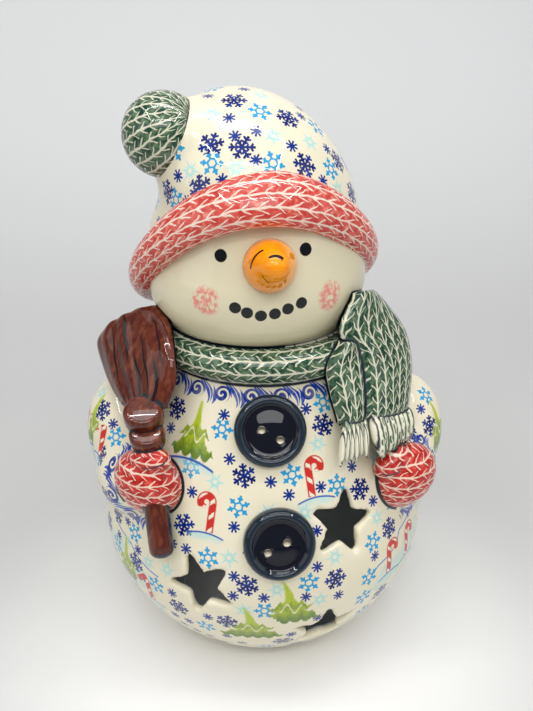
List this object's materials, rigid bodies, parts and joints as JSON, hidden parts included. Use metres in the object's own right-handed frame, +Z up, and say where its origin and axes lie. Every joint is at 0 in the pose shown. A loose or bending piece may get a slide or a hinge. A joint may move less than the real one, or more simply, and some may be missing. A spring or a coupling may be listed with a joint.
{
  "type": "ceramic snowman lantern",
  "caption": "Hollow glazed stoneware snowman with knit hat, scarf, broom and star-shaped light holes, open underneath for a small candle or lamp.",
  "frame": {"origin": "middle of the overall footprint, on the plane that the foot ring stands on", "axes": "+Z up through the snowman, -Y the way the face looks, +X to the viewer's right when seen from the front"},
  "size_m": [0.185, 0.1744, 0.275],
  "materials": {
    "glazed_stoneware": "clear gloss glaze over painted stoneware"
  },
  "bodies": {
    "root": {"snowman_lantern": "glazed_stoneware"}
  },
  "joints": []
}
